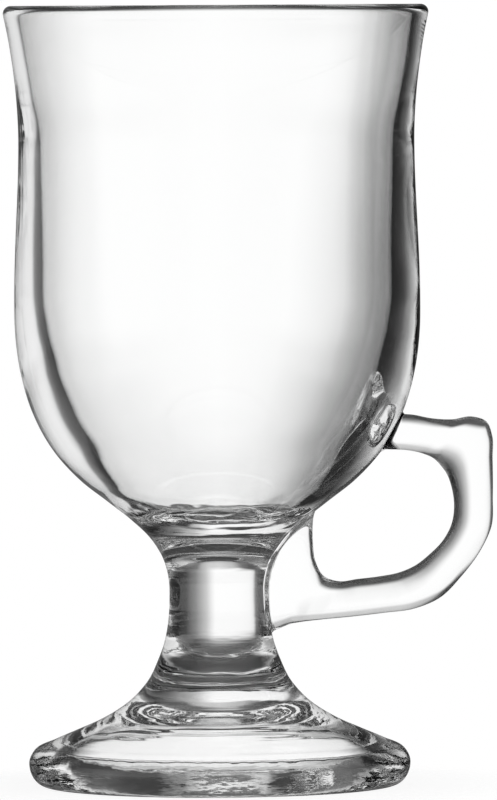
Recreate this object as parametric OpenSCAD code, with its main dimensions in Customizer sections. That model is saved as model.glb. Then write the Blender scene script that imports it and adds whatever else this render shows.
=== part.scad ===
// Irish coffee glass mug: a thick flared bowl on a short solid stem and a hollow domed foot,
// with a closed bar handle. It stands on the plane z = 0, with its axis on Z and the handle
// towards +X. Lengths are in millimetres.

/* [Bowl] */
// Overall height, from the table to the top of the lip
mug_height = 145; // [141:0.5:155]
// Largest radius of the flared lip
lip_r = 39.5; // [38.5:0.1:43]
// Thickness of the rounded lip
lip_thickness = 2.9; // [2.4:0.1:3.4]
// How far the wall leans outwards at the lip, in degrees
lip_lean = 11; // [6:1:14]
// Glass thickness halfway up the flare, where it is thinnest
flare_wall = 2.7; // [2.2:0.1:3.2]
// Narrowest outside radius of the bowl, under the flare
neck_r = 36.75; // [35.5:0.05:38]
// How far that narrowest place lies below the top of the lip
neck_drop = 25.1; // [21:0.1:29]
// Glass thickness at the neck
neck_wall = 3.7; // [3:0.05:4.6]
// Fullest outside radius of the bowl
bulge_r = 37.7; // [36.5:0.1:40]
// Height of that fullest place
bulge_z = 90.2; // [86:0.1:94]
// Glass thickness at the fullest place
bulge_wall = 5.2; // [4.2:0.1:6.2]
// How far above the fullest place the bowl's inside starts to close in
bore_rise = 3.8; // [1:0.1:8]
// Height of the bowl's inside floor at the axis
floor_z = 51.9; // [49.5:0.1:54]
// Height of the joint between bowl and stem
bowl_joint_z = 41.9; // [40.5:0.1:43.5]
// Radius of the joint between bowl and stem
bowl_joint_r = 10.2; // [9.8:0.1:10.8]

/* [Stem] */
// Radius of the stem at its waist
waist_r = 9.2; // [8:0.1:9.7]
// Height of the waist
waist_z = 34.5; // [32:0.5:37]
// Height of the joint between stem and foot
foot_joint_z = 19.6; // [18:0.1:21]
// Radius of the joint between stem and foot
foot_joint_r = 13.2; // [12:0.1:14.4]

/* [Foot] */
// Largest radius of the foot
foot_r = 35.45; // [34:0.05:40]
// Height of the foot's widest place
foot_edge_z = 4.3; // [3.4:0.1:5]
// Outer radius of the flat ring that the mug stands on
ring_out_r = 32; // [31.4:0.1:33]
// Inner radius of that ring
ring_in_r = 30.3; // [29.4:0.1:30.8]
// Depth of the hollow under the foot
hollow_depth = 12.6; // [10:0.1:13.5]

/* [Handle] */
// Reach of the handle from the mug's axis
handle_reach = 50.9; // [49.5:0.1:56]
// Height of the thumb corner's top
handle_top_z = 68.3; // [67:0.1:72]
// Height at which the lower end leaves the stem
handle_low_z = 28.9; // [27:0.1:30]
// Depth of the handle's bar at its far side, outside the finger gap
bar_depth = 7.2; // [5:0.1:8.5]
// Depth of the handle's bar at the top, from the thumb corner down to the finger gap
top_depth = 6; // [5:0.1:7.5]
// Depth of the lower end, from the bottom of the finger gap down to where it leaves the stem
web_depth = 8.9; // [7.5:0.1:10.5]
// Width of the handle across its flat sides
handle_width = 10; // [8:0.1:13]
// Width of the handle's lower end, where it runs into the stem
web_width = 6.6; // [5.4:0.1:8]

/* [Hidden] */
glass_tint = [0.82, 0.9, 0.92, 0.45];
// Straight pieces between two neighbouring points of a turned outline, and round an arc
curve_steps = 3;
arc_steps = 8;
// Pieces along the handle between two of its stations, and round its section
station_steps = 3;
section_steps = 20;
// Squareness of the handle's section: 2 is an ellipse, more is squarer
squareness = 2.6;
lip_roll = lip_thickness / 2;
lip_z = mug_height - lip_roll;
neck_z = mug_height - neck_drop;
bore_z = bulge_z + bore_rise;
inner_neck_r = neck_r - neck_wall;
bore_r = bulge_r - bulge_wall;
gap_reach = handle_reach - bar_depth;
gap_top_z = handle_top_z - top_depth;
gap_low_z = handle_low_z + web_depth;

// Each row is a share of a radius step and a share of a height step.
// Outside, from the foot's edge (1, 0) to its joint with the stem (0, 1)
foot_shares = [[0.953, 0.157], [0.796, 0.271], [0.602, 0.392], [0.409, 0.516], [0.265, 0.634],
               [0.148, 0.758], [0.067, 0.876]];
// Outside, from the foot joint (1, 0) to the waist (0, 1)
ankle_shares = [[0.55, 0.248], [0.225, 0.497], [0.05, 0.765]];
// Outside, from the waist (0, 0) to the bowl joint (1, 1)
throat_shares = [[0.1, 0.5]];
// Outside, from the bowl joint (0, 0) to the fullest place (1, 1)
belly_shares = [[0.078, 0.077], [0.211, 0.153], [0.382, 0.23], [0.553, 0.306], [0.738, 0.422],
                [0.884, 0.576], [0.962, 0.731], [0.996, 0.884]];
// Outside, from the neck (0, 0) to the lip (1, 1)
flare_shares = [[0.113, 0.312], [0.418, 0.629], [0.745, 0.861]];
// How much of the step from the neck's wall to the flare's wall each of those places takes
thinning_shares = [0.74, 1, 0.9];
// Inside, from the floor at the axis (0, 0) to the foot of the straight bore (1, 1)
cup_shares = [[0.14, 0.002], [0.277, 0.014], [0.41, 0.05], [0.526, 0.114], [0.637, 0.204],
              [0.726, 0.292], [0.803, 0.38], [0.862, 0.468], [0.908, 0.556], [0.945, 0.65],
              [0.974, 0.745], [0.993, 0.85]];
// Inside, from the foot of the straight bore (0, 0) to the neck (1, 1)
rise_shares = [[0.4, 0.65]];
// Under the foot, from the axis (0, 1) to the ring (1, 0)
hollow_shares = [[0.26, 0.98], [0.47, 0.89], [0.66, 0.71], [0.84, 0.46], [0.95, 0.2]];
// Outer edge of the handle, from the bowl round to the stem: shares of its reach and height
grip_outer_shares = [[0.58, 1.01], [0.71, 1.01], [0.776, 0.993], [0.855, 0.987], [0.925, 1],
                     [0.979, 0.975], [0.998, 0.915], [1, 0.8], [1, 0.625], [0.995, 0.485],
                     [0.957, 0.375], [0.886, 0.25], [0.805, 0.146], [0.713, 0.096],
                     [0.6, 0.076], [0.482, 0.059], [0.373, 0.046], [0.304, 0.036],
                     [0.255, 0.024], [0.21, 0], [0.14, -0.02], [0.07, -0.02], [-0.02, -0.02]];
// Its inner edge, at the same stations: shares of the gap's reach and height
grip_inner_shares = [[0.6, 1], [0.72, 1], [0.807, 0.992], [0.868, 0.967], [0.916, 0.927],
                     [0.945, 0.873], [0.968, 0.816], [0.991, 0.7], [1, 0.56], [0.989, 0.43],
                     [0.955, 0.312], [0.895, 0.2], [0.832, 0.114], [0.768, 0.065],
                     [0.682, 0.035], [0.59, 0.016], [0.509, 0], [0.445, 0.041], [0.411, 0.15],
                     [0.4, 0.3], [0.4, 0.44], [0.408, 0.54], [0.43, 0.66]];

// A point at shares of the way from one corner to the other
function between(start, stop, share) =
    [start.x + (stop.x - start.x) * share.x, start.y + (stop.y - start.y) * share.y];

// Points placed by a table of shares
function placed(start, stop, shares) = [for (share = shares) between(start, stop, share)];

// Unit direction of a smooth curve through the points, by how far off its neighbours are
function slope(points, i) =
    let (before = points[max(i - 1, 0)], here = points[i],
         after = points[min(i + 1, len(points) - 1)],
         back = norm(here - before), ahead = norm(after - here))
    back == 0 ? (after - here) / ahead :
    ahead == 0 ? (here - before) / back :
    ((here - before) * ahead / back + (after - here) * back / ahead) / (back + ahead);

// Place between points i and i + 1, at a share t of the way along a cubic that takes the slopes
function on_curve(points, slopes, i, t) =
    let (reach = norm(points[i + 1] - points[i]))
    points[i] * (1 - 3 * t * t + 2 * t * t * t)
    + points[i + 1] * (3 * t * t - 2 * t * t * t)
    + slopes[i] * reach * (t - 2 * t * t + t * t * t)
    + slopes[i + 1] * reach * (t * t * t - t * t);

// A smooth curve through the points, steps pieces to a stretch
function curve(points, slopes, steps) =
    [for (i = [0 : len(points) - 2]) for (k = [0 : steps - 1])
        on_curve(points, slopes, i, k / steps),
     points[len(points) - 1]];

// A smooth curve through the points, upright wherever the table of places says so
function turned_curve(points, upright) =
    curve(points, [for (i = [0 : len(points) - 1])
        let (s = slope(points, i))
        len([for (u = upright) if (norm(points[i] - u) == 0) u]) > 0 ? [0, sign(s.y)] : s],
        curve_steps);

foot_edge = [foot_r, foot_edge_z];
foot_joint = [foot_joint_r, foot_joint_z];
waist = [waist_r, waist_z];
bowl_joint = [bowl_joint_r, bowl_joint_z];
bulge = [bulge_r, bulge_z];
neck = [neck_r, neck_z];
lip_centre = [lip_r - lip_roll, lip_z];
outer_lip = lip_centre + lip_roll * [cos(lip_lean), -sin(lip_lean)];

// The whole outside, from the foot's edge to the lip
outside_points = concat(
    [foot_edge], placed([foot_joint.x, foot_edge.y], [foot_edge.x, foot_joint.y], foot_shares),
    [foot_joint], placed([waist.x, foot_joint.y], [foot_joint.x, waist.y], ankle_shares),
    [waist], placed(waist, bowl_joint, throat_shares),
    [bowl_joint], placed(bowl_joint, bulge, belly_shares),
    [bulge, neck], placed(neck, outer_lip, flare_shares), [outer_lip]);
outside = turned_curve(outside_points, [foot_edge, waist, bulge, neck]);

// The part of the outside that lies between two heights
function stretch(low, high) = [for (p = outside) if (p.y >= low && p.y <= high) p];

// The bowl's inside, from its floor at the axis to the lip
bore = [bore_r, bore_z];
inner_neck = [inner_neck_r, neck_z];
inner_lip = lip_centre - lip_roll * [cos(lip_lean), -sin(lip_lean)];
inner_flare = [for (i = [0 : len(flare_shares) - 1])
    let (wall = neck_wall + (flare_wall - neck_wall) * thinning_shares[i])
    between(neck, outer_lip, flare_shares[i]) - [wall, 0]];
inside = turned_curve(concat(
    [[0, floor_z]], placed([0, floor_z], bore, cup_shares),
    [bore], placed(bore, inner_neck, rise_shares), [inner_neck], inner_flare, [inner_lip]),
    [bore]);

// The lip's round top, from its outer side over to its inner side
lip_arc = [for (k = [1 : arc_steps - 1]) let (a = 180 * k / arc_steps - lip_lean)
    lip_centre + lip_roll * [cos(a), sin(a)]];

// The foot's lower edge, from the ring out to its widest place
edge_arc = [for (k = [0 : arc_steps - 1]) let (a = 90 * k / arc_steps)
    [ring_out_r + (foot_r - ring_out_r) * sin(a), foot_edge_z - foot_edge_z * cos(a)]];

// The hollow under the foot, from the axis to the ring's inner edge
hollow = turned_curve(concat([[0, hollow_depth]],
    placed([0, 0], [ring_in_r, hollow_depth], hollow_shares), [[ring_in_r, 0]]), []);

// The same list from its end to its start
function backwards(list) = [for (i = [len(list) - 1 : -1 : 0]) list[i]];

module bowl() {
    color(glass_tint)
    rotate_extrude()
    polygon(concat([[0, bowl_joint_z]], stretch(bowl_joint_z, mug_height), lip_arc,
                   backwards(inside)));
}

module stem() {
    color(glass_tint)
    rotate_extrude()
    polygon(concat([[0, foot_joint_z]], stretch(foot_joint_z, bowl_joint_z),
                   [[0, bowl_joint_z]]));
}

module foot() {
    color(glass_tint)
    rotate_extrude()
    polygon(concat(hollow, edge_arc, stretch(foot_edge_z, foot_joint_z),
                   [[0, foot_joint_z]]));
}

// What the turned pieces fill, as one solid without hollows, below the neck
module turned_body() {
    rotate_extrude()
    polygon(concat([[0, foot_edge_z]], stretch(foot_edge_z, neck_z), [[0, neck_z]]));
}

// Both edges of the handle in the plane y = 0
outer_edge = let (points = placed([0, handle_low_z], [handle_reach, handle_top_z], grip_outer_shares))
    curve(points, [for (i = [0 : len(points) - 1]) slope(points, i)], station_steps);
inner_edge = let (points = placed([0, gap_low_z], [gap_reach, gap_top_z], grip_inner_shares))
    curve(points, [for (i = [0 : len(points) - 1]) slope(points, i)], station_steps);

// The stretch of the handle, in shares of its length, over which it narrows to the lower end
narrowing_shares = [0.42, 0.84];

// Width of the handle at a share of its length
function width_at(share) =
    let (start = narrowing_shares[0], stop = narrowing_shares[1],
         t = min(max((share - start) / (stop - start), 0), 1))
    handle_width + (web_width - handle_width) * t * t * (3 - 2 * t);

// A power of a sine or cosine that keeps its sign
function squared_off(value) = sign(value) * pow(abs(value), 2 / squareness);

// One section of the handle: a squarish oval from its inner edge to its outer edge
function section(inner, outer, width) =
    [for (k = [0 : section_steps - 1]) let (a = 360 * k / section_steps,
        across = (1 + squared_off(cos(a))) / 2,
        place = inner + (outer - inner) * across)
        [place.x, width / 2 * squared_off(sin(a)), place.y]];

module grip_bar() {
    last = len(outer_edge) - 1;
    corners = [for (i = [0 : last]) each section(inner_edge[i], outer_edge[i], width_at(i / last))];
    sides = [for (i = [0 : last - 1]) for (k = [0 : section_steps - 1])
        let (here = i * section_steps, ahead = here + section_steps, next = (k + 1) % section_steps)
        each [[here + k, here + next, ahead + next], [here + k, ahead + next, ahead + k]]];
    ends = [[for (k = [section_steps - 1 : -1 : 0]) k],
            [for (k = [0 : section_steps - 1]) last * section_steps + k]];
    polyhedron(corners, concat(sides, ends));
}

module handle() {
    color(glass_tint)
    difference() {
        grip_bar();
        turned_body();
    }
}

bowl();
stem();
foot();
handle();
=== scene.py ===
"""Irish coffee glass mug: thick clear glass on a plain white floor, in soft studio light.

Bowl, stem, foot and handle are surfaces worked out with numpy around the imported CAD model. The
turned pieces are an outline carried round the axis, and the handle is a squarish section carried
along its two edges. All lengths are in metres, in the frame of the CAD model: the mug stands on
the plane z = 0 with its axis on Z and the handle towards +X.
"""

import math

import bpy
import numpy as np
from mathutils import Matrix, Vector


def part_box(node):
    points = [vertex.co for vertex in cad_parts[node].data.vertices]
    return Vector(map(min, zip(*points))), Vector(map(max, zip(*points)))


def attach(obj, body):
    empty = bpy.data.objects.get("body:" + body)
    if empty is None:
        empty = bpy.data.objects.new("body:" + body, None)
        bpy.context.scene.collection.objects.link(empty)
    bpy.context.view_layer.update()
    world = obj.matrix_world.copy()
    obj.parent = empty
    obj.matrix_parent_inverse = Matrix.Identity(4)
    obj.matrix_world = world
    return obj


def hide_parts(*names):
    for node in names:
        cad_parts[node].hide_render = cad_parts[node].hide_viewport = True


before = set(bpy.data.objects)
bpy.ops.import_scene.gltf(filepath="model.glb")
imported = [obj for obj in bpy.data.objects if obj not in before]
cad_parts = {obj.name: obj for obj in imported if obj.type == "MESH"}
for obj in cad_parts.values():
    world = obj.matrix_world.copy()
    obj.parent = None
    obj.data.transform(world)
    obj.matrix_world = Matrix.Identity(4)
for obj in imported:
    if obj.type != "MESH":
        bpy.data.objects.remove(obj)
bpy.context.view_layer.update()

MM = 0.001

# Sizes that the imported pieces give
bowl_low, bowl_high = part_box("bowl")
stem_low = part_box("stem")[0]
foot_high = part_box("foot")[1]
handle_low, handle_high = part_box("handle")
MUG_HEIGHT = bowl_high.z
LIP_R = bowl_high.x
BOWL_JOINT_Z = bowl_low.z
FOOT_JOINT_Z = stem_low.z
FOOT_R = foot_high.x
HANDLE_REACH = handle_high.x
HANDLE_WIDTH = handle_high.y - handle_low.y

# Bowl
LIP_THICKNESS = 2.9 * MM
LIP_LEAN = 11
FLARE_WALL = 2.7 * MM
NECK_R = 36.75 * MM
NECK_Z = MUG_HEIGHT - 25.1 * MM
NECK_WALL = 3.7 * MM
BULGE_R = 37.7 * MM
BULGE_Z = 90.2 * MM
BULGE_WALL = 5.2 * MM
BORE_Z = BULGE_Z + 3.8 * MM
FLOOR_Z = 51.9 * MM
BOWL_JOINT_R = 10.2 * MM

# Stem and foot
WAIST_R = 9.2 * MM
WAIST_Z = 34.5 * MM
FOOT_JOINT_R = 13.2 * MM
FOOT_EDGE_Z = 4.3 * MM
RING_OUT_R = 32 * MM
RING_IN_R = 30.3 * MM
HOLLOW_DEPTH = 12.6 * MM

# Handle
HANDLE_TOP_Z = 68.3 * MM
HANDLE_LOW_Z = 28.9 * MM
BAR_DEPTH = 7.2 * MM
TOP_DEPTH = 6 * MM
WEB_DEPTH = 8.9 * MM
WEB_WIDTH = 6.6 * MM
NARROWING_SHARES = 0.42, 0.84
SQUARENESS = 2.6
UPPER_FILLET = 0.6 * MM
LOWER_FILLET = 0.8 * MM
# Between which shares of the handle's length each end comes out of the body, the buried one first
UPPER_ROOT_SHARES = 0, 0.15
LOWER_ROOT_SHARES = 1, 0.75
# How the handle's mesh is divided: round its section, along its length, and over each fused end
GRIP_SIDES = 128
GRIP_STATIONS = 360
CAP_RINGS = 6

# How near to the turned outside, or to a joint's height, a point counts as on it
ON_THE_BODY = 0.05 * MM
AT_THE_JOINT = 0.001 * MM

# Each row is a share of a radius step and a share of a height step, as in the CAD source
FOOT_SHARES = [[0.953, 0.157], [0.796, 0.271], [0.602, 0.392], [0.409, 0.516], [0.265, 0.634],
               [0.148, 0.758], [0.067, 0.876]]
ANKLE_SHARES = [[0.55, 0.248], [0.225, 0.497], [0.05, 0.765]]
THROAT_SHARES = [[0.1, 0.5]]
BELLY_SHARES = [[0.078, 0.077], [0.211, 0.153], [0.382, 0.23], [0.553, 0.306], [0.738, 0.422],
                [0.884, 0.576], [0.962, 0.731], [0.996, 0.884]]
FLARE_SHARES = [[0.113, 0.312], [0.418, 0.629], [0.745, 0.861]]
THINNING_SHARES = [0.74, 1, 0.9]
CUP_SHARES = [[0.14, 0.002], [0.277, 0.014], [0.41, 0.05], [0.526, 0.114], [0.637, 0.204],
              [0.726, 0.292], [0.803, 0.38], [0.862, 0.468], [0.908, 0.556], [0.945, 0.65],
              [0.974, 0.745], [0.993, 0.85]]
RISE_SHARES = [[0.4, 0.65]]
HOLLOW_SHARES = [[0.26, 0.98], [0.47, 0.89], [0.66, 0.71], [0.84, 0.46], [0.95, 0.2]]
GRIP_OUTER_SHARES = [[0.58, 1.01], [0.71, 1.01], [0.776, 0.993], [0.855, 0.987], [0.925, 1],
                     [0.979, 0.975], [0.998, 0.915], [1, 0.8], [1, 0.625], [0.995, 0.485],
                     [0.957, 0.375], [0.886, 0.25], [0.805, 0.146], [0.713, 0.096],
                     [0.6, 0.076], [0.482, 0.059], [0.373, 0.046], [0.304, 0.036],
                     [0.255, 0.024], [0.21, 0], [0.14, -0.02], [0.07, -0.02], [-0.02, -0.02]]
GRIP_INNER_SHARES = [[0.6, 1], [0.72, 1], [0.807, 0.992], [0.868, 0.967], [0.916, 0.927],
                     [0.945, 0.873], [0.968, 0.816], [0.991, 0.7], [1, 0.56], [0.989, 0.43],
                     [0.955, 0.312], [0.895, 0.2], [0.832, 0.114], [0.768, 0.065],
                     [0.682, 0.035], [0.59, 0.016], [0.509, 0], [0.445, 0.041], [0.411, 0.15],
                     [0.4, 0.3], [0.4, 0.44], [0.408, 0.54], [0.43, 0.66]]

# The photograph's frame, and where it was taken from
PHOTO_WIDTH, PHOTO_HEIGHT = 497, 800
PIXELS_PER_METRE = 5384
FLOOR_ROW = 785.5
AXIS_COLUMN = 217.8
CAMERA_DISTANCE = 1.95
CAMERA_HEIGHT = 0.145
CAMERA_ROLL = -0.325
SENSOR_WIDTH = 36
CLIP_START, CLIP_END = 0.1, 50
LIGHT_BOUNCES = 32

# Colourless soda-lime glass
GLASS_TINT = (0.995, 0.997, 0.996, 1)
GLASS_INDEX = 1.52

# Where the floor starts to thin out, and where it ends
FLOOR_SOLID_R = 0.036
FLOOR_R = 0.065
# How far from the axis the painted pool of light on the floor under the foot ends, and where it is full
PAINTED_LIGHT_POOL_R = 0.031, 0.024
# The same for how flat the floor is looked at, from 0 (square) to 1 (level)
FLAT_LOOK = 0.25, 0.6
# The floor's own grey, and how white it is where the camera looks at it
FLOOR_PAINT = 0.25
FLOOR_WHITE = 0.88


def between(start, stop, shares):
    """Points at the given shares of the way from one corner to the other: start + share * step."""
    start, stop = np.array(start, float), np.array(stop, float)
    return start + (stop - start) * np.array(shares, float)


def smooth_curve(points, upright=(), steps=24):
    """A smooth curve through points of a plane, as many short pieces.

    Each point's slope is the mean of its two chords' directions, each weighted by the other
    chord's length, or straight up or down for the places that upright lists. Between two points
    the curve is the cubic with those two slopes, of a length that matches the chord's.
    """
    points = np.array(points, float)
    steps_between = np.diff(points, axis=0)
    reach = np.linalg.norm(steps_between, axis=1)[:, None]
    chord = steps_between / reach
    slope = np.empty_like(points)
    slope[0], slope[-1] = chord[0], chord[-1]
    slope[1:-1] = (chord[:-1] * reach[1:] + chord[1:] * reach[:-1]) / (reach[:-1] + reach[1:])
    for place in upright:
        slope[place] = 0, np.sign(slope[place, 1])
    t = (np.arange(steps) / steps)[None, :, None]
    start, stop, reach = points[:-1, None], points[1:, None], reach[:, None]
    bent = (start * (1 - 3 * t**2 + 2 * t**3) + stop * (3 * t**2 - 2 * t**3)
            + slope[:-1, None] * reach * (t - 2 * t**2 + t**3)
            + slope[1:, None] * reach * (t**3 - t**2))
    return np.vstack([bent.reshape(-1, 2), points[-1:]])


def spaced(line, spacing):
    """The same line with its points a given distance apart, measured along it."""
    length = np.concatenate([[0], np.cumsum(np.linalg.norm(np.diff(line, axis=0), axis=1))])
    places = np.linspace(0, length[-1], max(2, round(length[-1] / spacing) + 1))
    return np.column_stack([np.interp(places, length, line[:, k]) for k in (0, 1)])


def arc(centre, radii, start, stop, count):
    """Points on a quarter or half of an ellipse in the outline's plane, ends included."""
    turn = np.radians(np.linspace(start, stop, count))
    return np.column_stack([centre[0] + radii[0] * np.cos(turn), centre[1] + radii[1] * np.sin(turn)])


def outside_line():
    """The turned outside, from the foot's edge up to the lip, as one smooth line."""
    foot_edge, foot_joint = (FOOT_R, FOOT_EDGE_Z), (FOOT_JOINT_R, FOOT_JOINT_Z)
    waist, bowl_joint = (WAIST_R, WAIST_Z), (BOWL_JOINT_R, BOWL_JOINT_Z)
    bulge, neck, lip = (BULGE_R, BULGE_Z), (NECK_R, NECK_Z), tuple(lip_line[0])
    low = [foot_edge,
           *between((foot_joint[0], foot_edge[1]), (foot_edge[0], foot_joint[1]), FOOT_SHARES),
           foot_joint,
           *between((waist[0], foot_joint[1]), (foot_joint[0], waist[1]), ANKLE_SHARES)]
    middle = [waist, *between(waist, bowl_joint, THROAT_SHARES),
              bowl_joint, *between(bowl_joint, bulge, BELLY_SHARES)]
    high = [bulge, neck, *between(neck, lip, FLARE_SHARES), lip]
    points = low + middle + high
    waist_place, bulge_place = len(low), len(low) + len(middle)
    return smooth_curve(points, (0, waist_place, bulge_place, bulge_place + 1))


def inside_line():
    """The bowl's inside, from its floor at the axis up to the lip."""
    floor, bore = (0, FLOOR_Z), (BULGE_R - BULGE_WALL, BORE_Z)
    neck = (NECK_R - NECK_WALL, NECK_Z)
    lip = tuple(lip_line[-1])
    flare = between((NECK_R, NECK_Z), lip_line[0], FLARE_SHARES)
    flare[:, 0] -= NECK_WALL + (FLARE_WALL - NECK_WALL) * np.array(THINNING_SHARES)
    cup = [floor, *between(floor, bore, CUP_SHARES)]
    points = cup + [bore, *between(bore, neck, RISE_SHARES), neck, *flare, lip]
    return smooth_curve(points, (len(cup),))


def hollow_line():
    """The hollow under the foot, from the axis out to the ring that it stands on."""
    return smooth_curve([(0, HOLLOW_DEPTH), *between((0, 0), (RING_IN_R, HOLLOW_DEPTH), HOLLOW_SHARES),
                         (RING_IN_R, 0)])


lip_line = arc((LIP_R - LIP_THICKNESS / 2, MUG_HEIGHT - LIP_THICKNESS / 2), (LIP_THICKNESS / 2,) * 2,
               -LIP_LEAN, 180 - LIP_LEAN, 25)
outside = outside_line()
inside = inside_line()
hollow = hollow_line()
grip_outer = smooth_curve(between((0, HANDLE_LOW_Z), (HANDLE_REACH, HANDLE_TOP_Z), GRIP_OUTER_SHARES))
grip_inner = smooth_curve(between((0, HANDLE_LOW_Z + WEB_DEPTH),
                                  (HANDLE_REACH - BAR_DEPTH, HANDLE_TOP_Z - TOP_DEPTH),
                                  GRIP_INNER_SHARES))
# The tiny rise keeps the heights apart where the outline runs level
outside_slope = np.gradient(outside[:, 0], outside[:, 1] + 1e-9 * np.arange(len(outside)))


def body_radius(height):
    """Outside radius of the turned pieces at a height."""
    return np.interp(height, outside[:, 1], outside[:, 0])


def body_clearance(x, y, z):
    """How far a point stands off the turned outside, below nought within it.

    It is the step out from the outside at the point's height, turned square to the outline.
    """
    slope = np.interp(z, outside[:, 1], outside_slope)
    return (np.hypot(x, y) - body_radius(z)) / np.sqrt(1 + slope**2)


def powered(value, power):
    """A power of a sine or cosine that keeps its sign."""
    return np.sign(value) * np.abs(value) ** power


def grip_width(along):
    """Width of the handle at a share of its length: full, then a smooth step down to the web's."""
    start, stop = NARROWING_SHARES
    share = np.clip((along - start) / (stop - start), 0, 1)
    return HANDLE_WIDTH + (WEB_WIDTH - HANDLE_WIDTH) * share**2 * (3 - 2 * share)


def grip_surface(along, turn):
    """A point of the handle's skin, for any place along it (0 to 1) and turn round its section.

    The section is a superellipse between the inner and the outer edge, half its width to
    either side. Near the body it swells outwards by fillet * (1 - distance / fillet) squared,
    which runs out onto the body like the fillet of a hot joint.
    """
    place = along * (len(grip_outer) - 1)
    index = np.arange(len(grip_outer))
    inner = [np.interp(place, index, grip_inner[:, k]) for k in (0, 1)]
    outer = [np.interp(place, index, grip_outer[:, k]) for k in (0, 1)]
    depth = np.hypot(outer[0] - inner[0], outer[1] - inner[1])
    across = (outer[0] - inner[0]) / depth, (outer[1] - inner[1]) / depth
    step = depth / 2 * (1 + powered(np.cos(turn), 2 / SQUARENESS))
    width = grip_width(along)
    side = width / 2 * powered(np.sin(turn), 2 / SQUARENESS)
    out_across = powered(np.cos(turn), 2 - 2 / SQUARENESS) / depth
    out_side = powered(np.sin(turn), 2 - 2 / SQUARENESS) / width
    out_length = np.hypot(out_across, out_side)
    distance = body_clearance(inner[0] + across[0] * step, side, inner[1] + across[1] * step)
    fillet = np.where(along < 0.5, UPPER_FILLET, LOWER_FILLET)
    swell = fillet * (1 - np.clip(distance / fillet, 0, 1)) ** 2
    step = step + swell * out_across / out_length
    side = side + swell * out_side / out_length
    return np.stack([inner[0] + across[0] * step, side, inner[1] + across[1] * step], axis=-1)


def root_places(turn, buried, free):
    """Where each line along the handle comes out of the body, by halving the stretch 30 times."""
    buried, free = np.full(turn.shape, float(buried)), np.full(turn.shape, float(free))
    for _ in range(30):
        middle = (buried + free) / 2
        point = grip_surface(middle, turn)
        outside_body = body_clearance(*np.moveaxis(point, -1, 0)) > 0
        free = np.where(outside_body, middle, free)
        buried = np.where(outside_body, buried, middle)
    return (buried + free) / 2


def cap_rings(rim):
    """A root's closing face: rings that shrink from the rim to a middle, laid on the body.

    Each ring is the rim scaled towards its middle in width and height, and its x follows from
    the body's radius at its height: x squared = radius squared - y squared.
    """
    middle = (rim[:, 2].min() + rim[:, 2].max()) / 2
    size = np.linspace(0, 1, CAP_RINGS + 1)[:-1, None]
    y = rim[None, :, 1] * size
    z = middle + (rim[None, :, 2] - middle) * size
    return np.stack([np.sqrt(body_radius(z) ** 2 - y**2), y, z], axis=-1)


def handle_grid():
    """The whole handle as rings of points: upper cap, skin from root to root, lower cap.

    On each turn of the section the skin's places are evenly spaced: upper + (lower - upper) * share.
    """
    turn = 2 * np.pi * np.arange(GRIP_SIDES) / GRIP_SIDES
    upper = root_places(turn, *UPPER_ROOT_SHARES)
    lower = root_places(turn, *LOWER_ROOT_SHARES)
    share = np.linspace(0, 1, GRIP_STATIONS)[:, None]
    skin = grip_surface(upper + (lower - upper) * share, np.broadcast_to(turn, (GRIP_STATIONS, GRIP_SIDES)))
    return cap_rings(skin[0]), skin, cap_rings(skin[-1])[::-1]


upper_cap, grip_skin, lower_cap = handle_grid()
root_rims = [grip_skin[0], grip_skin[-1]]


def inside_root(points):
    """How far a point of the turned outside lies within one of the handle's roots.

    Seen along X, each root's rim is a closed loop round its middle. The value is the rim's
    distance from that middle, in the point's direction, less the point's own distance.
    """
    best = np.full(points.shape[:-1], -1.0)
    for rim in root_rims:
        middle = (rim[:, 2].min() + rim[:, 2].max()) / 2
        rim_turn = np.arctan2(rim[:, 2] - middle, rim[:, 1])
        order = np.argsort(rim_turn)
        rim_reach = np.hypot(rim[:, 2] - middle, rim[:, 1])
        turn = np.arctan2(points[..., 2] - middle, points[..., 1])
        reach = np.hypot(points[..., 2] - middle, points[..., 1])
        depth = np.interp(turn, rim_turn[order], rim_reach[order], period=2 * np.pi) - reach
        best = np.maximum(best, np.where(points[..., 0] > 0, depth, -1.0))
    return best


def turned_angles():
    """Angles round the axis: close together at the handle's roots, wider apart elsewhere.

    The steps are 0.35 degrees up to 12 degrees off the handle's plane, 0.9 up to 39, then 2.2.
    """
    half = np.concatenate([np.arange(0, 11.9, 0.35), np.arange(12, 38.9, 0.9), np.arange(39, 180, 2.2)])
    return np.radians(np.concatenate([half, [180], -half[:0:-1]]))


ANGLES = turned_angles()


def turned_grid(line):
    """A line of radius and height carried round the axis: (r cos a, r sin a, z)."""
    radius, height = line[:, :1], line[:, 1:]
    return np.stack([radius * np.cos(ANGLES), radius * np.sin(ANGLES),
                     np.broadcast_to(height, (len(line), len(ANGLES)))], axis=-1)


def snapped_to_roots(grid, depth):
    """Moves the grid's points that are nearest to a root's rim onto the rim.

    On each grid line that the rim crosses, the nearer of its two ends slides along the line to
    the crossing, found by linear interpolation of how deep the ends lie within the root.
    """
    nearest = np.full(depth.shape, 0.5)
    moved, flat = grid.copy(), depth.copy()
    for axis, step in ((0, 1), (0, -1), (1, 1), (1, -1)):
        other_depth = np.roll(depth, -step, axis)
        other = np.roll(grid, -step, axis)
        if axis == 0:
            edge_row = -1 if step == 1 else 0
            other_depth[edge_row] = depth[edge_row]
        crossed = depth * other_depth < 0
        share = np.where(crossed, depth / np.where(crossed, depth - other_depth, 1), 1)
        closer = share < nearest
        nearest = np.where(closer, share, nearest)
        moved = np.where(closer[..., None], grid + (other - grid) * share[..., None], moved)
        flat = np.where(closer, 0, flat)
    return moved, flat


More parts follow.
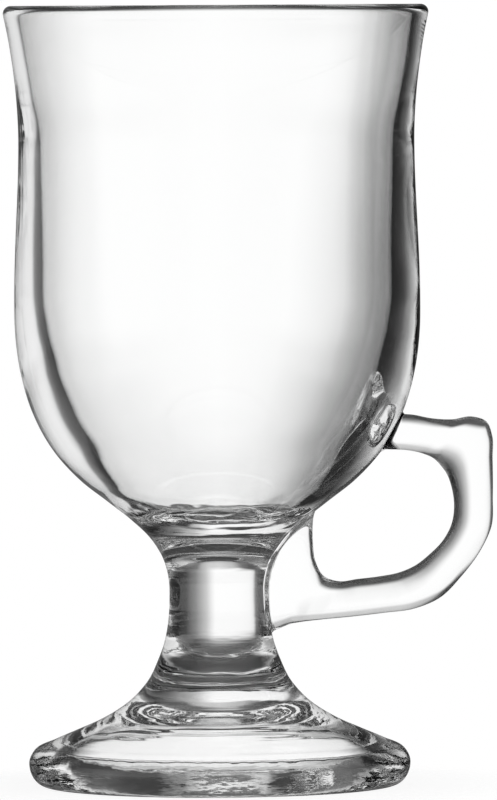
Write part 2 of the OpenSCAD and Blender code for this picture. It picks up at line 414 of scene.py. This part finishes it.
def ring_triangles(rows, columns, split_other_way=None):
    """Two triangles for each cell between rings of points, wound so that they face outwards."""
    index = np.arange(rows * columns).reshape(rows, columns)
    a, d = index[:-1], index[1:]
    b, c = np.roll(a, -1, axis=1), np.roll(d, -1, axis=1)
    if split_other_way is None:
        split_other_way = np.zeros(a.shape, bool)
    first = np.where(split_other_way[..., None], np.stack([a, b, d], -1), np.stack([a, b, c], -1))
    second = np.where(split_other_way[..., None], np.stack([b, c, d], -1), np.stack([a, c, d], -1))
    return np.concatenate([first.reshape(-1, 3), second.reshape(-1, 3)])


def pole_triangles(ring_start, columns, pole, faces_down):
    """A fan from a ring of points to the single point that closes it."""
    ring = ring_start + np.arange(columns)
    ahead = np.roll(ring, -1)
    tip = np.full(columns, pole)
    return np.column_stack([tip, ahead, ring] if faces_down else [tip, ring, ahead])


def new_piece(name, node, points, triangles, joint, materials):
    """A closed mesh as a scene object that stands for its CAD node.

    joint marks the triangles at which two pieces are fused. The edges round them are sharp, so
    the polished skin is shaded right up to the seam.
    """
    mesh = bpy.data.meshes.new(name)
    mesh.vertices.add(len(points))
    mesh.vertices.foreach_set("co", points.ravel())
    mesh.loops.add(triangles.size)
    mesh.loops.foreach_set("vertex_index", triangles.ravel())
    mesh.polygons.add(len(triangles))
    mesh.polygons.foreach_set("loop_start", 3 * np.arange(len(triangles)))
    mesh.polygons.foreach_set("material_index", joint.astype(np.int32))
    mesh.update(calc_edges=True)
    mesh.shade_smooth()
    loop_edge = np.empty(triangles.size, np.int32)
    mesh.loops.foreach_get("edge_index", loop_edge)
    joint_sides = np.bincount(loop_edge, np.repeat(joint, 3), len(mesh.edges))
    mesh.edges.foreach_set("use_edge_sharp", joint_sides == 1)
    for material in materials:
        mesh.materials.append(material)
    mesh.validate()
    piece = bpy.data.objects.new(name, mesh)
    bpy.context.scene.collection.objects.link(piece)
    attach(piece, "root")
    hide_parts(node)


def turned_piece(name, node, line, joint_heights, materials):
    """A closed outline from axis to axis, turned round, with its fused faces marked.

    Fused are the flat discs at the joint heights and what lies within the handle's roots.
    """
    grid = turned_grid(line[1:-1])
    on_outside = np.abs(body_clearance(*np.moveaxis(grid, -1, 0))) < ON_THE_BODY
    depth = np.where(on_outside, inside_root(grid), -1.0)
    grid, depth = snapped_to_roots(grid, depth)
    rows, columns = depth.shape
    opposite = depth[:-1] * np.roll(depth[1:], -1, axis=1) < 0
    triangles = ring_triangles(rows, columns, opposite)
    points = np.vstack([grid.reshape(-1, 3), [[0, 0, line[0, 1]], [0, 0, line[-1, 1]]]])
    triangles = np.concatenate([triangles, pole_triangles(0, columns, rows * columns, True),
                                pole_triangles((rows - 1) * columns, columns, rows * columns + 1, False)])
    corners = points[triangles]
    middle = corners.mean(axis=1)
    touches = np.abs(body_clearance(*np.moveaxis(corners, -1, 0))).max(axis=1) < ON_THE_BODY
    joint = touches & (inside_root(middle) > 0)
    for height in joint_heights:
        joint |= np.abs(corners[..., 2] - height).max(axis=1) < AT_THE_JOINT
    new_piece(name, node, points, triangles, joint, materials)


def heights_line(low, high, spacing):
    """The turned outside between two heights, its points a given height apart, ends included."""
    heights = np.linspace(low, high, round((high - low) / spacing) + 1)
    return np.column_stack([body_radius(heights), heights])


def bowl_piece(materials):
    """The bowl: joint disc, outside with fine rows at the handle's roots, round lip, inside."""
    web_top, root_low, root_high = 50 * MM, 58 * MM, 74 * MM
    line = np.vstack([[(0, BOWL_JOINT_Z)],
                      heights_line(BOWL_JOINT_Z, web_top, 0.2 * MM),
                      heights_line(web_top, root_low, 0.5 * MM)[1:],
                      heights_line(root_low, root_high, 0.25 * MM)[1:],
                      heights_line(root_high, lip_line[0, 1], 1 * MM)[1:],
                      lip_line[1:], spaced(inside, 1.1 * MM)[-2::-1]])
    turned_piece("bowl_glass", "bowl", line, [BOWL_JOINT_Z], materials)


def stem_piece(materials):
    """The stem: its outside between the two joint discs."""
    line = np.vstack([[(0, FOOT_JOINT_Z)], heights_line(FOOT_JOINT_Z, BOWL_JOINT_Z, 0.2 * MM),
                      [(0, BOWL_JOINT_Z)]])
    turned_piece("stem_glass", "stem", line, [FOOT_JOINT_Z, BOWL_JOINT_Z], materials)


def foot_piece(materials):
    """The foot: hollow, standing ring, round edge, domed top and the joint disc."""
    edge = arc((RING_OUT_R, FOOT_EDGE_Z), (FOOT_R - RING_OUT_R, FOOT_EDGE_Z), -90, 0, 17)
    top = outside[(outside[:, 1] > FOOT_EDGE_Z) & (outside[:, 1] <= FOOT_JOINT_Z + 1e-9)]
    line = np.vstack([spaced(hollow, 0.5 * MM), edge, spaced(np.vstack([edge[-1:], top]), 0.4 * MM)[1:],
                      [(0, FOOT_JOINT_Z)]])
    turned_piece("foot_glass", "foot", line, [FOOT_JOINT_Z], materials)


def handle_piece(materials):
    """The handle: its rings in one closed tube, with the two caps fused to the body."""
    rings = np.concatenate([upper_cap[1:], grip_skin, lower_cap[:-1]])
    rows, columns = rings.shape[:2]
    points = np.vstack([rings.reshape(-1, 3), [upper_cap[0, 0], lower_cap[-1, 0]]])
    triangles = np.concatenate([
        ring_triangles(rows, columns),
        pole_triangles(0, columns, rows * columns, True),
        pole_triangles((rows - 1) * columns, columns, rows * columns + 1, False)])[:, ::-1]
    cap_points = np.ones(rows * columns + 2, bool)
    cap_points[columns * (CAP_RINGS - 1):columns * (rows - CAP_RINGS + 1)] = False
    joint = cap_points[triangles].any(axis=1)
    new_piece("handle_glass", "handle", points, triangles, joint, materials)


def shader_tree(name):
    """An empty node tree of a new material, with its output."""
    material = bpy.data.materials.new(name)
    material.use_nodes = True
    tree = material.node_tree
    tree.nodes.clear()
    return material, tree, tree.nodes.new("ShaderNodeOutputMaterial")


def combined(tree, operation, first, second):
    """One number from two linked ones, by a plain operation of arithmetic."""
    node = tree.nodes.new("ShaderNodeMath")
    node.operation = operation
    for socket, value in zip(node.inputs, (first, second)):
        tree.links.new(value, socket)
    return node.outputs[0]


def scaled(tree, value, share):
    """A linked number times a constant."""
    node = tree.nodes.new("ShaderNodeMath")
    node.operation = "MULTIPLY"
    node.inputs[1].default_value = share
    tree.links.new(value, node.inputs[0])
    return node.outputs[0]


def stepped(tree, value, low, high):
    """A soft step of a number: 0 at the low value and 1 at the high one, whichever is the larger."""
    step = tree.nodes.new("ShaderNodeMapRange")
    step.interpolation_type = "SMOOTHSTEP"
    step.inputs["From Min"].default_value = low
    step.inputs["From Max"].default_value = high
    tree.links.new(value, step.inputs["Value"])
    return step.outputs["Result"]


def soft_noise(tree, place, size):
    """A noise whose lumps are about as wide as the size says."""
    noise = tree.nodes.new("ShaderNodeTexNoise")
    noise.inputs["Scale"].default_value = 1 / size
    noise.inputs["Detail"].default_value = 1
    tree.links.new(place, noise.inputs["Vector"])
    return noise.outputs["Fac"]


def mould_rings(tree, place, spacing):
    """Waves in rings round the axis, a given distance apart and a little uneven.

    At a scale of 1 the node's own rings are 2 pi / 20 metres apart.
    """
    wave = tree.nodes.new("ShaderNodeTexWave")
    wave.wave_type = "RINGS"
    wave.rings_direction = "Z"
    wave.inputs["Scale"].default_value = 2 * math.pi / 20 / spacing
    wave.inputs["Distortion"].default_value = 2.5
    wave.inputs["Detail"].default_value = 1
    wave.inputs["Detail Scale"].default_value = 0.4
    tree.links.new(place, wave.inputs["Vector"])
    return wave.outputs["Fac"]


def mould_streaks(tree, place, size):
    """A noise drawn out level: its lumps are as wide as the size says and a fifth as high."""
    squash = tree.nodes.new("ShaderNodeVectorMath")
    squash.operation = "MULTIPLY"
    squash.inputs[1].default_value = (1, 1, 5)
    tree.links.new(place, squash.inputs[0])
    return soft_noise(tree, squash.outputs["Vector"], size)


def below(full, gone):
    """Where a layer of relief is: all of it under one height, and none above the other."""
    def mask(tree, place):
        parts = tree.nodes.new("ShaderNodeSeparateXYZ")
        tree.links.new(place, parts.inputs[0])
        return stepped(tree, parts.outputs["Z"], gone, full)
    return mask


def within(height, full, gone):
    """Where a layer of relief is: within a ball round a point of the axis at that height."""
    def mask(tree, place):
        reach = tree.nodes.new("ShaderNodeVectorMath")
        reach.operation = "DISTANCE"
        reach.inputs[1].default_value = (0, 0, height)
        tree.links.new(place, reach.inputs[0])
        return stepped(tree, reach.outputs["Value"], gone, full)
    return mask


def fire_polished_glass(name, layers):
    """Colourless glass whose skin has the soft waves and the fine grain of fire polishing.

    Each layer is a bump on Object coordinates: its pattern, that pattern's size, the bump's
    height, and where on the piece it is, or None where it is everywhere.
    """
    material, tree, output = shader_tree(name)
    glass = tree.nodes.new("ShaderNodeBsdfPrincipled")
    glass.inputs["Base Color"].default_value = GLASS_TINT
    glass.inputs["Roughness"].default_value = 0
    glass.inputs["IOR"].default_value = GLASS_INDEX
    glass.inputs["Transmission Weight"].default_value = 1
    place = tree.nodes.new("ShaderNodeTexCoord").outputs["Object"]
    normal = None
    for pattern, size, height, mask in layers:
        relief = pattern(tree, place, size)
        if mask:
            relief = combined(tree, "MULTIPLY", relief, mask(tree, place))
        bump = tree.nodes.new("ShaderNodeBump")
        bump.inputs["Strength"].default_value = 1
        bump.inputs["Distance"].default_value = height
        tree.links.new(relief, bump.inputs["Height"])
        if normal:
            tree.links.new(normal, bump.inputs["Normal"])
        normal = bump.outputs["Normal"]
    tree.links.new(normal, glass.inputs["Normal"])
    tree.links.new(glass.outputs["BSDF"], output.inputs["Surface"])
    return material


def fused_joint():
    """The faces at which two pieces of glass have run together: nothing is seen there."""
    material, tree, output = shader_tree("fused joint")
    clear = tree.nodes.new("ShaderNodeBsdfTransparent")
    tree.links.new(clear.outputs["BSDF"], output.inputs["Surface"])
    return material


def lifted(tree, distance):
    """How white the floor is seen, from 0 to 1, by how far it is from the axis.

    The camera sees it near white all over, so that the shadow still shows. In and through glass
    it is white only as a painted pool of light: at a flat angle, within the hollow under the foot.
    """
    path = tree.nodes.new("ShaderNodeLightPath")
    angle = tree.nodes.new("ShaderNodeLayerWeight")
    angle.inputs["Blend"].default_value = 0.5
    by_glass = combined(tree, "MAXIMUM", path.outputs["Is Glossy Ray"], path.outputs["Is Transmission Ray"])
    flat = stepped(tree, angle.outputs["Facing"], *FLAT_LOOK)
    # Painted pool of light on the floor under the foot's hollow, seen in and through glass
    painted_light_pool = stepped(tree, distance, *PAINTED_LIGHT_POOL_R)
    in_glass = combined(tree, "MULTIPLY", combined(tree, "MULTIPLY", by_glass, flat), painted_light_pool)
    seen = scaled(tree, path.outputs["Is Camera Ray"], FLOOR_WHITE)
    return combined(tree, "MAXIMUM", seen, in_glass)


def white_floor():
    """A pale floor that keeps the mug's shadow, lifted towards white where it is looked at.

    Towards its edge it thins out by the distance from the mug, so that it runs into the backdrop
    without a line.
    """
    material, tree, output = shader_tree("white floor")
    place = tree.nodes.new("ShaderNodeTexCoord")
    distance = tree.nodes.new("ShaderNodeVectorMath")
    distance.operation = "LENGTH"
    paint = tree.nodes.new("ShaderNodeBsdfDiffuse")
    paint.inputs["Color"].default_value = (FLOOR_PAINT, FLOOR_PAINT, FLOOR_PAINT, 1)
    none = tree.nodes.new("ShaderNodeEmission")
    none.inputs["Strength"].default_value = 0
    lift = tree.nodes.new("ShaderNodeEmission")
    choose = tree.nodes.new("ShaderNodeMixShader")
    both = tree.nodes.new("ShaderNodeAddShader")
    tree.links.new(lifted(tree, distance.outputs["Value"]), choose.inputs[0])
    tree.links.new(none.outputs[0], choose.inputs[1])
    tree.links.new(lift.outputs[0], choose.inputs[2])
    tree.links.new(paint.outputs[0], both.inputs[0])
    tree.links.new(choose.outputs[0], both.inputs[1])
    thin = stepped(tree, distance.outputs["Value"], FLOOR_SOLID_R, FLOOR_R)
    gone = tree.nodes.new("ShaderNodeBsdfTransparent")
    fade = tree.nodes.new("ShaderNodeMixShader")
    tree.links.new(place.outputs["Object"], distance.inputs[0])
    tree.links.new(thin, fade.inputs[0])
    tree.links.new(both.outputs[0], fade.inputs[1])
    tree.links.new(gone.outputs[0], fade.inputs[2])
    tree.links.new(fade.outputs[0], output.inputs["Surface"])
    return material


# Brightness of the studio by the angle in degrees from straight behind the mug, towards the
# right: at the height of the mug, above the back light, and below the edge of the table
STUDIO_SWEEP = [(-180, 1), (-88, 1), (-80, 0.6), (-72, 0.15), (-64, 0.06), (-50, 0.05), (-42, 0.08),
                (-37, 0.2), (-33, 0.85), (-28, 0.97), (-18, 1), (3, 1), (6, 0.84),
                (10, 0.56), (15, 0.37), (20, 0.2), (25, 0.12), (28, 0.07), (31, 0.03), (36, 0.02),
                (48, 0.02), (56, 0.03), (66, 0.04), (78, 0.07), (86, 0.25), (94, 0.8), (100, 1), (180, 1)]
CEILING_SWEEP = [(-180, 0.95), (-150, 0.8), (-120, 0.25), (-75, 0.1), (-55, 0.05), (-30, 0.05),
                 (-20, 0.15), (-12, 0.5), (0, 0.65), (8, 0.6), (14, 0.4), (18, 0.13), (35, 0.09),
                 (50, 0.12), (62, 0.22), (85, 0.25), (105, 0.6), (135, 0.85), (180, 0.95)]
TABLE_SWEEP = [(-180, 1), (-150, 0.8), (-120, 0.2), (-85, 0.05), (-46, 0.04), (-36, 0.05),
               (-15, 0.06), (10, 0.06), (26, 0.04), (34, 0.035), (50, 0.025), (85, 0.04),
               (120, 0.2), (150, 0.8), (180, 1)]
# Brightness straight up, in every direction round
ZENITH_LIGHT = 0.05
# How much of it all is left, by the same angle, in what the glass mirrors on its skin
MIRRORED_SWEEP = [(-180, 1), (-110, 0.95), (-70, 0.15), (0, 0.1), (70, 0.15), (110, 0.7), (180, 1)]
# Where ceiling, zenith and table begin and have taken over, by the direction's height, from
# straight down (-1) through level (0) to straight up (1)
CEILING_HEIGHTS = 0.27, 0.42
ZENITH_HEIGHTS = 0.7, 0.9
TABLE_HEIGHTS = -0.28, -0.5


def brightness_ramp(tree, angle, stops):
    """A ramp of greys over an angle in radians, from its pairs of degrees and brightness."""
    spread = tree.nodes.new("ShaderNodeMapRange")
    spread.inputs["From Min"].default_value = -math.pi
    spread.inputs["From Max"].default_value = math.pi
    ramp = tree.nodes.new("ShaderNodeValToRGB")
    marks = ramp.color_ramp.elements
    marks.remove(marks[1])
    marks[0].position = 0
    marks[0].color = (stops[0][1],) * 3 + (1,)
    first, last = stops[0][0], stops[-1][0]
    for place, light in stops[1:]:
        marks.new((place - first) / (last - first)).color = (light, light, light, 1)
    tree.links.new(angle, spread.inputs["Value"])
    tree.links.new(spread.outputs["Result"], ramp.inputs["Fac"])
    return ramp.outputs["Color"]


def blended(tree, factor, first, second):
    """Two colours mixed by a linked factor; each may be a constant."""
    mix = tree.nodes.new("ShaderNodeMixRGB")
    for socket, value in zip(mix.inputs, (factor, first, second)):
        if isinstance(value, bpy.types.NodeSocket):
            tree.links.new(value, socket)
        else:
            socket.default_value = value
    return mix.outputs["Color"]


def studio_world():
    """A white studio with one soft light behind the mug and to the left, and dark corners.

    The brightness is a ramp over the direction's angle round Z, with other ramps for the
    directions that lead up to the ceiling and down past the table. Straight up it is dark for
    what is seen through the glass. What the glass mirrors on its skin is dimmer, above all at its
    outline. The camera itself sees plain white.
    """
    world = bpy.data.worlds.new("studio")
    world.use_nodes = True
    tree = world.node_tree
    tree.nodes.clear()
    place = tree.nodes.new("ShaderNodeTexCoord")
    parts = tree.nodes.new("ShaderNodeSeparateXYZ")
    turn = tree.nodes.new("ShaderNodeMath")
    turn.operation = "ARCTAN2"
    tree.links.new(place.outputs["Generated"], parts.inputs[0])
    tree.links.new(parts.outputs["X"], turn.inputs[0])
    tree.links.new(parts.outputs["Y"], turn.inputs[1])
    angle, height = turn.outputs[0], parts.outputs["Z"]
    level, ceiling, table, mirrored = (
        brightness_ramp(tree, angle, sweep)
        for sweep in (STUDIO_SWEEP, CEILING_SWEEP, TABLE_SWEEP, MIRRORED_SWEEP))
    path = tree.nodes.new("ShaderNodeLightPath")
    on_skin = combined(tree, "SUBTRACT", path.outputs["Is Glossy Ray"], path.outputs["Is Transmission Ray"])
    upper = blended(tree, stepped(tree, height, *CEILING_HEIGHTS), level, ceiling)
    zenith = blended(tree, stepped(tree, height, *ZENITH_HEIGHTS), upper, (ZENITH_LIGHT,) * 3 + (1,))
    either = blended(tree, on_skin, zenith, upper)
    light = blended(tree, stepped(tree, height, *TABLE_HEIGHTS), either, table)
    studio = tree.nodes.new("ShaderNodeBackground")
    tree.links.new(light, studio.inputs["Color"])
    tree.links.new(blended(tree, on_skin, (1, 1, 1, 1), mirrored), studio.inputs["Strength"])
    backdrop = tree.nodes.new("ShaderNodeBackground")
    backdrop.inputs["Color"].default_value = (1, 1, 1, 1)
    choose = tree.nodes.new("ShaderNodeMixShader")
    output = tree.nodes.new("ShaderNodeOutputWorld")
    tree.links.new(path.outputs["Is Camera Ray"], choose.inputs[0])
    tree.links.new(studio.outputs[0], choose.inputs[1])
    tree.links.new(backdrop.outputs[0], choose.inputs[2])
    tree.links.new(choose.outputs[0], output.inputs["Surface"])
    bpy.context.scene.world = world


def floor_piece():
    """The floor: one flat face round the mug, its edge on a circle."""
    turn = np.radians(np.arange(0, 360, 3))
    edge = np.column_stack([FLOOR_R * np.cos(turn), FLOOR_R * np.sin(turn), np.zeros(len(turn))])
    mesh = bpy.data.meshes.new("floor")
    mesh.from_pydata(edge.tolist(), [], [list(range(len(turn)))])
    mesh.materials.append(white_floor())
    floor = bpy.data.objects.new("floor", mesh)
    bpy.context.scene.collection.objects.link(floor)


def photo_camera():
    """The camera where the photograph was taken: in front, at lip height, tilted slightly down.

    The long side of the sensor spans the photograph's height at the mug's axis.
    """
    middle_x = (PHOTO_WIDTH / 2 - AXIS_COLUMN) / PIXELS_PER_METRE
    middle_z = (FLOOR_ROW - PHOTO_HEIGHT / 2) / PIXELS_PER_METRE
    place = Vector((middle_x, -CAMERA_DISTANCE, CAMERA_HEIGHT))
    aim = Vector((middle_x, 0, middle_z)) - place
    data = bpy.data.cameras.new("camera")
    data.sensor_width = SENSOR_WIDTH
    data.lens = data.sensor_width * aim.length * PIXELS_PER_METRE / PHOTO_HEIGHT
    data.clip_start = CLIP_START
    data.clip_end = CLIP_END
    camera = bpy.data.objects.new("camera", data)
    turn = aim.to_track_quat("-Z", "Y").to_matrix().to_4x4()
    roll = Matrix.Rotation(math.radians(CAMERA_ROLL), 4, "Z")
    camera.matrix_world = Matrix.Translation(place) @ turn @ roll
    bpy.context.scene.collection.objects.link(camera)
    bpy.context.scene.camera = camera


def render_look():
    """Plain colours, and enough bounces for light to pass through all the walls of glass."""
    scene = bpy.context.scene
    scene.view_settings.view_transform = "Standard"
    scene.cycles.max_bounces = LIGHT_BOUNCES
    scene.cycles.transmission_bounces = LIGHT_BOUNCES
    scene.cycles.glossy_bounces = LIGHT_BOUNCES
    scene.cycles.transparent_max_bounces = LIGHT_BOUNCES


photo_camera()
fused = fused_joint()
bottom_waves = within(60 * MM, 15 * MM, 19.5 * MM)
bowl_glass = fire_polished_glass("bowl glass", [
    (soft_noise, 30 * MM, 0.2 * MM, None),
    (soft_noise, 5 * MM, 0.003 * MM, None),
    (soft_noise, 6 * MM, 0.6 * MM, bottom_waves),
    (soft_noise, 2.2 * MM, 0.05 * MM, bottom_waves)])
stem_glass = fire_polished_glass("pressed glass", [
    (soft_noise, 9 * MM, 0.12 * MM, None),
    (mould_streaks, 5 * MM, 0.03 * MM, None)])
foot_glass = fire_polished_glass("foot glass", [
    (soft_noise, 12 * MM, 0.2 * MM, None),
    (mould_rings, 3.2 * MM, 0.02 * MM, None),
    (mould_rings, 1.1 * MM, 0.003 * MM, None),
    (mould_streaks, 3 * MM, 0.02 * MM, below(3.5 * MM, 7 * MM)),
    (mould_streaks, 1.6 * MM, 0.012 * MM, below(4.5 * MM, 7 * MM))])
handle_glass = fire_polished_glass("handle glass", [
    (soft_noise, 10 * MM, 0.1 * MM, None),
    (soft_noise, 1.4 * MM, 0.004 * MM, None)])
bowl_piece([bowl_glass, fused])
stem_piece([stem_glass, fused])
foot_piece([foot_glass, fused])
handle_piece([handle_glass, fused])
floor_piece()
studio_world()
render_look()
